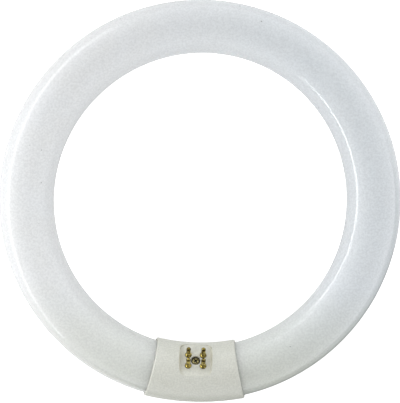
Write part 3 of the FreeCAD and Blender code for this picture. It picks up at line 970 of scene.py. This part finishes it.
# %% Colours
def give_colours(tree, sockets, colours):
    """Gives each socket its colour, which is a tuple or the output of a node."""
    for socket, colour in zip(sockets, colours):
        if isinstance(colour, tuple):
            socket.default_value = (*colour, 1)
        else:
            tree.links.new(colour, socket)


def between(tree, share, first, second):
    """Mixes two colours, each a tuple or an output, by a share."""
    node = tree.nodes.new("ShaderNodeMix")
    node.data_type = "RGBA"
    tree.links.new(share, node.inputs["Factor"])
    give_colours(tree, (node.inputs["A"], node.inputs["B"]), (first, second))
    return node.outputs["Result"]


def toned(tree, colour, share):
    """A colour with each of its parts multiplied by a share."""
    node = tree.nodes.new("ShaderNodeVectorMath")
    node.operation = "SCALE"
    node.inputs["Scale"].default_value = share
    tree.links.new(colour, node.inputs[0])
    return node.outputs["Vector"]


# %% Noise, patches and sheltered places
NOISE_DETAIL = 3.0
NOISE_ROUGHNESS = 0.55


def noise(tree, place, scale):
    """Noise whose scale is in waves a metre, as an output between about 0.25 and 0.75."""
    node = tree.nodes.new("ShaderNodeTexNoise")
    node.inputs["Scale"].default_value = scale
    node.inputs["Detail"].default_value = NOISE_DETAIL
    node.inputs["Roughness"].default_value = NOISE_ROUGHNESS
    tree.links.new(place, node.inputs["Vector"])
    return node.outputs["Fac"]


def patches(tree, place, scale, low, high, least=0.0):
    """Soft patches, from least to 1 where noise of this scale goes from low to high."""
    return spread(tree, noise(tree, place, scale), low, high, least, 1.0)


def sheltered(tree, reach, open_part, shut_part):
    """0 where the surface lies open and 1 deep in a corner or a hole.

    The node counts how much of the sky within reach a spot can see. open_part and shut_part are the shares
    of it that count as open and as shut.
    """
    node = tree.nodes.new("ShaderNodeAmbientOcclusion")
    node.inputs["Distance"].default_value = reach
    return spread(tree, node.outputs["AO"], shut_part, open_part, 1.0, 0.0)


# %% [markdown]
# Two effects are wanted by several finishes: a mottle, which wanders softly between two colours, and a grain,
# a fine bump. Their nodes could be made again in every material. A node group holds each of them once, with
# sockets for what differs, so that a change to it reaches every finish.

# %% What a node group starts with
def shared_group(name, inputs, output):
    """A new node group with these input sockets and one output socket, each a name and a kind."""
    group = bpy.data.node_groups.new(name, "ShaderNodeTree")
    for socket, kind in inputs:
        group.interface.new_socket(socket, in_out="INPUT", socket_type=kind)
    group.interface.new_socket(output[0], in_out="OUTPUT", socket_type=output[1])
    return group, group.nodes.new("NodeGroupInput").outputs, group.nodes.new("NodeGroupOutput").inputs


# %% The mottle
MOTTLE_LOW = 0.35
MOTTLE_HIGH = 0.65

mottle_sockets = [
    ("Place", "NodeSocketVector"),
    ("Scale", "NodeSocketFloat"),
    ("First", "NodeSocketColor"),
    ("Second", "NodeSocketColor"),
]
mottle_group, given, wanted = shared_group("mottle", mottle_sockets, ("Color", "NodeSocketColor"))
waves = noise(mottle_group, given["Place"], 1.0)
mottle_group.links.new(given["Scale"], waves.node.inputs["Scale"])
share = spread(mottle_group, waves, MOTTLE_LOW, MOTTLE_HIGH, 0.0, 1.0)
mottle_group.links.new(between(mottle_group, share, given["First"], given["Second"]), wanted["Color"])
print("the mottle has", len(mottle_group.nodes), "nodes")


def mottled(tree, place, scale, first, second):
    """A colour that wanders between two others, each a tuple or an output."""
    node = tree.nodes.new("ShaderNodeGroup")
    node.node_tree = mottle_group
    tree.links.new(place, node.inputs["Place"])
    node.inputs["Scale"].default_value = scale
    give_colours(tree, (node.inputs["First"], node.inputs["Second"]), (first, second))
    return node.outputs["Color"]


# %% The grain
grain_sockets = [("Place", "NodeSocketVector"), ("Scale", "NodeSocketFloat"), ("Depth", "NodeSocketFloat")]
grain_group, given, wanted = shared_group("grain", grain_sockets, ("Normal", "NodeSocketVector"))
waves = noise(grain_group, given["Place"], 1.0)
grain_group.links.new(given["Scale"], waves.node.inputs["Scale"])
bump = grain_group.nodes.new("ShaderNodeBump")
bump.inputs["Strength"].default_value = 1.0
grain_group.links.new(waves, bump.inputs["Height"])
grain_group.links.new(given["Depth"], bump.inputs["Distance"])
grain_group.links.new(bump.outputs["Normal"], wanted["Normal"])
print("the grain has", len(grain_group.nodes), "nodes")


def grained(tree, place, scale, depth):
    """A normal with a fine grain whose full range is this depth, in metres."""
    node = tree.nodes.new("ShaderNodeGroup")
    node.node_tree = grain_group
    tree.links.new(place, node.inputs["Place"])
    node.inputs["Scale"].default_value = scale
    node.inputs["Depth"].default_value = depth
    return node.outputs["Normal"]


# %% [markdown]
# The glass is clear, and its white is a powder baked on inside, so light spreads under a glossy skin. A real
# layer inside a clear shell would show that too, but slowly and with noise. Here it is strong subsurface
# scattering below a smooth coat. The powder has a fine grain. Its right side carries painted cool light, and
# towards the base it carries painted shade, darker and greener, most on the right.

# %% The powder's white
GLASS_WHITE = (0.91, 0.92, 0.925)
GLASS_WARM = (0.905, 0.91, 0.905)
GLASS_PAINTED_COOL_LIGHT = (0.87, 0.915, 0.95)
GLASS_PAINTED_SHADE = (0.765, 0.783, 0.713)
GLASS_WAVES = 55.0
SIDE_REACH = 0.05
COOL_LIGHT_SHARE = 0.7
SHADE_WHOLLY = -0.092
SHADE_NO_MORE = -0.04
SHADE_AT_LEFT = 0.8
GRAIN_SCALE = 1000.0
GRAIN_TONE = 0.88

glass_look, tree, shader, place = node_tree("coated_glass")
white = mottled(tree, place, GLASS_WAVES, GLASS_WHITE, GLASS_WARM)
axes = split(tree, place)
# Painted cool light: a bluer tint grows across to the right side.
cool_light = spread(tree, axes["X"], -SIDE_REACH, SIDE_REACH, 0.0, COOL_LIGHT_SHARE)
white = between(tree, cool_light, white, GLASS_PAINTED_COOL_LIGHT)
# Painted shade: a darker, greener tint towards the base, weaker at the left.
shade_near_base = spread(tree, axes["Y"], SHADE_WHOLLY, SHADE_NO_MORE, 1.0, 0.0)
right = spread(tree, axes["X"], -SIDE_REACH, SIDE_REACH, SHADE_AT_LEFT, 1.0)
white = between(tree, product(tree, shade_near_base, right), white, GLASS_PAINTED_SHADE)
white = mottled(tree, place, GRAIN_SCALE, white, toned(tree, white, GRAIN_TONE))
# The print gives where the painted shade starts and where it is full.
print(f"the powder ages from y = {SHADE_NO_MORE / MM:.0f} mm to y = {SHADE_WHOLLY / MM:.0f} mm")

# %% [markdown]
# A few dark specks are scattered over the glass. A Voronoi pattern gives every cell a middle and a random
# colour: a spot near a middle is a speck, but only in the rare cells whose red is high.

# %% Specks
SPECK = (0.10, 0.10, 0.10)
SPECK_SCALE = 180.0
SPECK_CORE = 0.05
SPECK_EDGE = 0.09
SPECK_FROM = 0.8
SPECK_FULL = 0.92
SPECK_SHARE = 0.6

cells = tree.nodes.new("ShaderNodeTexVoronoi")
cells.inputs["Scale"].default_value = SPECK_SCALE
tree.links.new(place, cells.inputs["Vector"])
near = spread(tree, cells.outputs["Distance"], SPECK_CORE, SPECK_EDGE, 1.0, 0.0)
chance = tree.nodes.new("ShaderNodeSeparateColor")
tree.links.new(cells.outputs["Color"], chance.inputs[0])
few = spread(tree, chance.outputs["Red"], SPECK_FROM, SPECK_FULL, 0.0, SPECK_SHARE)
white = between(tree, product(tree, near, few), white, SPECK)
speck_width = 2 * SPECK_EDGE / SPECK_SCALE
print(f"one cell in {1 / (1 - SPECK_FROM):.0f} can hold a speck, up to {speck_width / MM:.1f} mm across")

# %% Light under the glass
GLASS_ROUGHNESS = 0.55
GLASS_SPREAD = 0.8
GLASS_SPREAD_REACH = 0.015
COAT_ROUGHNESS = 0.02
COAT_IOR = 1.5

shader.inputs["Roughness"].default_value = GLASS_ROUGHNESS
shader.inputs["Subsurface Weight"].default_value = GLASS_SPREAD
shader.inputs["Subsurface Radius"].default_value = (1.0, 1.0, 1.0)
shader.inputs["Subsurface Scale"].default_value = GLASS_SPREAD_REACH
shader.inputs["Coat Weight"].default_value = 1.0
shader.inputs["Coat Roughness"].default_value = COAT_ROUGHNESS
shader.inputs["Coat IOR"].default_value = COAT_IOR
tree.links.new(white, shader.inputs["Base Color"])
print("the coated glass has", len(tree.nodes), "nodes")

# %% [markdown]
# The base is moulded from a filled white plastic with a faint yellow cast, half matt and finely grained.
# Ambient occlusion finds the sheltered places and paints shade there: a warmer, darker tone over the sunken
# floor, and a dark brown in its corners and holes. It goes on finding them when a size is changed. Each shelter
# is given by its reach and the shares of sky that count as open and as shut.

# %% The base's plastic
PLASTIC = (0.825, 0.827, 0.745)
PLASTIC_SHADE = (0.795, 0.797, 0.71)
PLASTIC_RECESS_SHADE = (0.775, 0.765, 0.665)
PLASTIC_WAVES = 240.0
PLASTIC_SCALE = 1200.0
PLASTIC_TONE = 0.875
PLASTIC_ROUGHNESS = 0.3
PLASTIC_GRAIN = 2600.0
PLASTIC_GRAIN_DEPTH = 0.02 * MM
PLASTIC_HOLLOW_SHADE = (0.06, 0.05, 0.035)
RECESS_SHADE_PLACES = (6 * MM, 0.9, 0.4)
HOLLOW_SHADE_PLACES = (1.2 * MM, 0.4, 0.15)

base_look, tree, shader, place = node_tree("base_plastic")
white = mottled(tree, place, PLASTIC_WAVES, PLASTIC, PLASTIC_SHADE)
white = mottled(tree, place, PLASTIC_SCALE, white, toned(tree, white, PLASTIC_TONE))
# Painted shade: a warmer, darker tone where the sunken floor is sheltered.
white = between(tree, sheltered(tree, *RECESS_SHADE_PLACES), white, PLASTIC_RECESS_SHADE)
# Painted shade: dark brown in corners and holes, deepest where little sky is seen.
white = between(tree, sheltered(tree, *HOLLOW_SHADE_PLACES), white, PLASTIC_HOLLOW_SHADE)
tree.links.new(white, shader.inputs["Base Color"])
shader.inputs["Roughness"].default_value = PLASTIC_ROUGHNESS
tree.links.new(grained(tree, place, PLASTIC_GRAIN, PLASTIC_GRAIN_DEPTH), shader.inputs["Normal"])
print("the base's plastic has", len(tree.nodes), "nodes")

# %% [markdown]
# The pins and the screw are brass, and part of their colour depends on height: painted shade darkens the
# pins' tips and feet, and a painted highlight lightens their very top. Object coordinates lie level while the
# pins lean, so a mapping node turns them into the base's straight frame first, with its height counted from
# the recess floor.

# %% The base's straight frame, in nodes
def upright_place(tree, place):
    """The place in the base's straight frame: the lean undone, and counted from the recess floor's middle."""
    turned = tree.nodes.new("ShaderNodeMapping")
    turned.vector_type = "POINT"
    turned.inputs["Location"].default_value = (
        0,
        BASE_MIDDLE * np.cos(LEAN) * MM,
        (BASE_MIDDLE * np.sin(LEAN) - FLOOR_HEIGHT) * MM,
    )
    turned.inputs["Rotation"].default_value = (LEAN, 0, 0)
    tree.links.new(place, turned.inputs["Vector"])
    return turned.outputs["Vector"]


def off_axis(tree, upright):
    """The distance from the screw's axis: the length of the upright place with its height left out."""
    flat = tree.nodes.new("ShaderNodeVectorMath")
    flat.operation = "MULTIPLY"
    flat.inputs[1].default_value = (1, 1, 0)
    tree.links.new(upright, flat.inputs[0])
    length = tree.nodes.new("ShaderNodeVectorMath")
    length.operation = "LENGTH"
    tree.links.new(flat.outputs["Vector"], length.inputs[0])
    return length.outputs["Value"]


# %% What both kinds of brass share
METAL_GRAIN = 3500.0
METAL_GRAIN_DEPTH = 0.01 * MM


def over(tree, value, low, high, first, last):
    """A value that goes from first to last while a height or distance goes from low to high millimetres."""
    return spread(tree, value, low * MM, high * MM, first, last)


def brass(tree, shader, place, colour, tarnish, bright, dull):
    """Links a brass's colour, its grain, and its roughness, which tarnish raises from bright to dull."""
    tree.links.new(colour, shader.inputs["Base Color"])
    tree.links.new(spread(tree, tarnish, 0.0, 1.0, bright, dull), shader.inputs["Roughness"])
    tree.links.new(grained(tree, place, METAL_GRAIN, METAL_GRAIN_DEPTH), shader.inputs["Normal"])


# %% [markdown]
# A pin is tarnished in patches. Its foot and its tip are darkened in patches by painted shade, which a painted
# highlight lightens again at the very top, and its dent and hollows are darkened by painted shade that ambient
# occlusion finds. One texture could hold all that, but would be coarse on so small a part.
# Heights here are in millimetres above the recess floor, and patches have a scale, a start and an end.

# %% Brass of the pins
BRASS = (0.72, 0.585, 0.165)
BRASS_DULL = (0.15, 0.11, 0.025)
BRASS_PAINTED_SHADE = (0.03, 0.018, 0.008)
PIN_TARNISH = (900.0, 0.42, 0.58)
PIN_SHADE_PATCHES = (1500.0, 0.35, 0.55, 0.5)
PIN_FOOT_SHADE = (0.05, 0.75)
FOOT_SHADE_SHARE = 0.9
PIN_TIP_SHADE = (PIN_LENGTH - 1.5, PIN_LENGTH - 0.7)
PIN_TOP_HIGHLIGHT = (PIN_LENGTH - 0.3, PIN_LENGTH)
TOP_HIGHLIGHT_SHARE = 0.5
PIN_HOLLOW_SHADE = (0.8 * MM, 0.92, 0.62)
PIN_ROUGHNESS = (0.16, 0.32)

pin_look, tree, shader, place = node_tree("pin_brass")
height = split(tree, upright_place(tree, place))["Z"]
tarnish = patches(tree, place, *PIN_TARNISH)
# Painted shade: darker at the foot and the tip, in patches, and in hollows.
foot = over(tree, height, *PIN_FOOT_SHADE, FOOT_SHADE_SHARE, 0.0)
tip = over(tree, height, *PIN_TIP_SHADE, 0.0, 1.0)
# Painted highlight: the very top of the tip is lightened again.
top_highlight = over(tree, height, *PIN_TOP_HIGHLIGHT, 0.0, TOP_HIGHLIGHT_SHARE)
dark = less(tree, larger(tree, foot, tip), top_highlight)
dark = product(tree, dark, patches(tree, place, *PIN_SHADE_PATCHES))
dark = larger(tree, dark, sheltered(tree, *PIN_HOLLOW_SHADE))
colour = between(tree, dark, between(tree, tarnish, BRASS, BRASS_DULL), BRASS_PAINTED_SHADE)
shader.inputs["Metallic"].default_value = 1.0
brass(tree, shader, place, colour, tarnish, *PIN_ROUGHNESS)
print("the pins' brass has", len(tree.nodes), "nodes")

# %% [markdown]
# The screw's brass is greyer and duller. Painted shade darkens its cross, the rim of its head, which stands
# close to the wall of its well, and its hollows, and lowers the metallic value where it lies. Height and
# distance from the axis find the cross, and height alone finds the rim.

# %% Brass of the screw
SCREW_BRASS = (0.36, 0.32, 0.16)
SCREW_DULL = (0.20, 0.17, 0.075)
SCREW_PAINTED_SHADE = (0.012, 0.011, 0.012)
SCREW_TARNISH = (1100.0, 0.38, 0.62)
HEAD_TOP = HEAD_HEIGHT - HEAD_WELL_DEPTH
CROSS_SHADE_HEIGHTS = (HEAD_TOP - 0.35, HEAD_TOP - 0.05)
CROSS_REACH = (1.2, 1.32)
HEAD_RIM = (HEAD_TOP - 1.3, HEAD_TOP - 0.75)
RIM_SHARE = 0.8
SHADE_METALLIC = 0.3
SCREW_HOLLOW_SHADE = (0.8 * MM, 0.8, 0.4)
SCREW_ROUGHNESS = (0.2, 0.36)

screw_look, tree, shader, place = node_tree("screw_brass")
upright = upright_place(tree, place)
height = split(tree, upright)["Z"]
tarnish = patches(tree, place, *SCREW_TARNISH)
# Painted shade: near-black in the cross, dark round the head's rim and in hollows.
deep = over(tree, height, *CROSS_SHADE_HEIGHTS, 1.0, 0.0)
inside = over(tree, off_axis(tree, upright), *CROSS_REACH, 1.0, 0.0)
rim = over(tree, height, *HEAD_RIM, RIM_SHARE, 0.0)
screw_shade = larger(tree, product(tree, deep, inside), rim)
screw_shade = larger(tree, screw_shade, sheltered(tree, *SCREW_HOLLOW_SHADE))
colour = between(tree, screw_shade, between(tree, tarnish, SCREW_BRASS, SCREW_DULL), SCREW_PAINTED_SHADE)
tree.links.new(spread(tree, screw_shade, 0.0, 1.0, 1.0, SHADE_METALLIC), shader.inputs["Metallic"])
brass(tree, shader, place, colour, tarnish, *SCREW_ROUGHNESS)
print("the screw's brass has", len(tree.nodes), "nodes")

# %% [markdown]
# The lead wires are a grey metal such as nickel, drawn thin and a little dull. They are hidden in the base,
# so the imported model's own round wires serve as they are, and only need a metal instead of a new mesh.

# %% The lead wires
WIRE = (0.6, 0.58, 0.55)
WIRE_DULL = (0.42, 0.4, 0.38)
WIRE_WAVES = 900.0
WIRE_ROUGHNESS = 0.35

wire_look, tree, shader, place = node_tree("wire_metal")
tree.links.new(mottled(tree, place, WIRE_WAVES, WIRE, WIRE_DULL), shader.inputs["Base Color"])
shader.inputs["Metallic"].default_value = 1.0
shader.inputs["Roughness"].default_value = WIRE_ROUGHNESS
print("the wire metal has", len(tree.nodes), "nodes")

# %% [markdown]
# ## Dressing the pieces
#
# Every new piece gets its material, and the node of the imported model that it stands for is hidden. All ride
# on the root, since nothing on the lamp moves.

# %% Every piece gets its material and its place in the model
def dress(piece, look, slot, *nodes):
    """Gives a piece its material, hangs it on the root and hides the nodes it stands for; slot is not used."""
    piece.data.materials.clear()
    piece.data.materials.append(look)
    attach(piece, "root")
    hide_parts(*nodes)
    print(f"{piece.name} in {look.name} stands for {nodes[0]}")


dress(glass, glass_look, "coated_glass", "glass_tube")
dress(front_shell, base_look, "base_plastic", "base_front_shell")
dress(back_shell, base_look, "base_plastic", "base_back_shell")
dress(screw, screw_look, "screw_brass", "clamp_screw")
for number, pin in enumerate(pins, start=1):
    dress(pin, pin_look, "pin_brass", f"contact_pin_{number}")
for number in range(1, 5):
    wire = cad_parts[f"lead_wire_{number}"]
    for wire_slot in wire.material_slots:
        wire_slot.material = wire_look

# %% [markdown]
# ## The floor
#
# The lamp lies on a white floor. A white background without a floor would lose the lamp's shadow, and a floor
# that only glows would too, so this one is lit like any surface.

# %% A white floor
STAGE_REACH = 3.0

floor_mesh = bpy.data.meshes.new("floor")
corners = [(STAGE_REACH * x, STAGE_REACH * y, cad_low.z) for x, y in ((-1, -1), (1, -1), (1, 1), (-1, 1))]
floor_mesh.from_pydata(corners, [], [(0, 1, 2, 3)])
floor = bpy.data.objects.new("floor", floor_mesh)
bpy.context.scene.collection.objects.link(floor)
print(f"floor at z = {cad_low.z / MM:.2f} mm")

# %% [markdown]
# The floor also glows a little for the camera and for reflections, so that its unshaded part is plain white.
# One part of it, past the lamp's lower right, shows dark in reflections, as a dark cloth there would, and
# that draws the crisp edge along the glass. How far a spot lies along one way across the floor decides it.

# %% The floor's white, its glow and its dark part
FLOOR_WHITE = (0.8, 0.8, 0.8)
FLOOR_DARK = (0.05, 0.08, 0.06)
FLOOR_ROUGHNESS = 0.9
FLOOR_GLOW = 0.8
MIRRORED_GLOW = 0.31
DARK_WAY = (0.64, -0.77)
DARK_FROM = 0.075
DARK_WHOLLY = 0.12

floor_look, tree, shader, place = node_tree("floor_white")
shader.inputs["Roughness"].default_value = FLOOR_ROUGHNESS
shader.inputs["Specular IOR Level"].default_value = 0.0
shader.inputs["Emission Color"].default_value = (1, 1, 1, 1)
seen = tree.nodes.new("ShaderNodeLightPath").outputs
mirrored = larger(tree, seen["Is Glossy Ray"], seen["Is Transmission Ray"])
axes = split(tree, place)
across = product(tree, axes["X"], DARK_WAY[0])
along = product(tree, axes["Y"], DARK_WAY[1])
beyond = spread(tree, added(tree, across, along), DARK_FROM, DARK_WHOLLY, 0.0, 1.0)
dark = product(tree, mirrored, beyond)
tree.links.new(between(tree, dark, FLOOR_WHITE, FLOOR_DARK), shader.inputs["Base Color"])
direct_glow = product(tree, seen["Is Camera Ray"], FLOOR_GLOW)
mirrored_glow = product(tree, less(tree, mirrored, dark), MIRRORED_GLOW)
tree.links.new(added(tree, direct_glow, mirrored_glow), shader.inputs["Emission Strength"])
floor_mesh.materials.append(floor_look)
print(f"the floor's dark part starts {DARK_FROM / MM:.0f} mm from the ring's middle")

# %% [markdown]
# ## Light
#
# The lamp lies in a white tent: its walls are bright all round and its top, where the camera looks in, is
# dimmer. Real walls would have to be modelled and would throw shadows of their own, so the world itself is
# the tent: its strength falls from the horizon to the zenith, and a little towards the near and the left
# side.

# %% Tent
TENT_COLOUR = (0.97, 0.985, 1)
TENT_WALL = 1.44
TENT_TOP = 0.26
TENT_FAR = 0.14
TENT_LEFT = -0.12

world = bpy.data.worlds.new("tent")
bpy.context.scene.world = world
world.use_nodes = True
tree = world.node_tree
background = tree.nodes["Background"]
background.inputs["Color"].default_value = (*TENT_COLOUR, 1)
way = split(tree, tree.nodes.new("ShaderNodeTexCoord").outputs["Generated"])
wall = spread(tree, way["Z"], 0.0, 1.0, TENT_WALL, TENT_TOP)
far = spread(tree, way["Y"], -1.0, 1.0, -TENT_FAR, TENT_FAR)
left = spread(tree, way["X"], -1.0, 1.0, TENT_LEFT, -TENT_LEFT)
tree.links.new(added(tree, added(tree, wall, far), left), background.inputs["Strength"])
print(f"the tent's strength goes from {TENT_WALL} at the wall to {TENT_TOP} at the top")

# %% [markdown]
# A low card at the left and a soft fill from above it light the object. A mirror-like surface shows the shape
# of whatever lights it, so two narrow strips are seen in polished surfaces alone: one makes the broad
# highlight along the ring's left side, the other the thin line along the inner side of its right.

# %% A lamp that faces one place
LAMP_AIM = Vector((0.0, 0.0, 0.02))


def soft_lamp(name, place, size, power, aim=LAMP_AIM, roll=0.0):
    """A rectangular lamp that faces one place, with its first side level or rolled from level."""
    light = bpy.data.lights.new(name, "AREA")
    light.shape = "RECTANGLE"
    light.size, light.size_y = size
    light.energy = power
    lamp = bpy.data.objects.new(name, light)
    lamp.location = place
    facing = (aim - place).to_track_quat("-Z", "Y")
    lamp.rotation_euler = (facing @ Quaternion((0, 0, 1), roll)).to_euler()
    bpy.context.scene.collection.objects.link(lamp)
    print(f"{name}: {power} W over {size[0]} by {size[1]} m")
    return lamp


# %% Card and fill
CARD_POWER = 0.052
CARD_PLACE = Vector((-0.19, 0.02, 0.045))
CARD_SIZE = (0.5, 0.018)
FILL_POWER = 0.215
FILL_PLACE = Vector((-0.2, -0.06, 0.26))
FILL_SIZE = (0.16, 0.16)

soft_lamp("card", CARD_PLACE, CARD_SIZE, CARD_POWER)
fill = soft_lamp("fill", FILL_PLACE, FILL_SIZE, FILL_POWER)
fill.visible_glossy = False

# %% Two strips for polished surfaces
GLEAM_POWER = 0.2
GLEAM_SIZE = (0.55, 0.024)
LINE_POWER = 0.045
LINE_PLACE = Vector((-0.05, -0.02, 0.018))
LINE_SIZE = (0.15, 0.016)
LINE_AIM = Vector((0.09, -0.02, 0.018))
LINE_ROLL = np.radians(28.0)

gleam = soft_lamp("gleam", CARD_PLACE, GLEAM_SIZE, GLEAM_POWER)
gleam.visible_diffuse = False
line = soft_lamp("line", LINE_PLACE, LINE_SIZE, LINE_POWER, LINE_AIM, LINE_ROLL)
line.visible_diffuse = False
line.visible_camera = False

# %% [markdown]
# ## Camera
#
# The picture looks down on the lamp from close by, a little tilted. Place, turns and lens were fitted at
# once, by least squares, to the ring's edges, the base's ends and the pins, and not set by eye. The colours
# are shown as they are, without a film curve, so that white stays white.

# %% Camera
LENS = 68.36
SENSOR = 36.0
NEAR_LIMIT = 0.01
CAMERA_PLACE = Vector((-0.0097, 0.0352, 0.410))
CAMERA_TURNS = (-0.0837, -0.0196, 0.0350)

camera_data = bpy.data.cameras.new("camera")
camera_data.lens = LENS
camera_data.sensor_width = SENSOR
camera_data.clip_start = NEAR_LIMIT
camera = bpy.data.objects.new("camera", camera_data)
camera.location = CAMERA_PLACE
camera.rotation_euler = CAMERA_TURNS
bpy.context.scene.collection.objects.link(camera)
bpy.context.scene.camera = camera
bpy.context.scene.view_settings.view_transform = "Standard"
print(f"the camera stands {CAMERA_PLACE.z:.2f} m above the ring's middle")
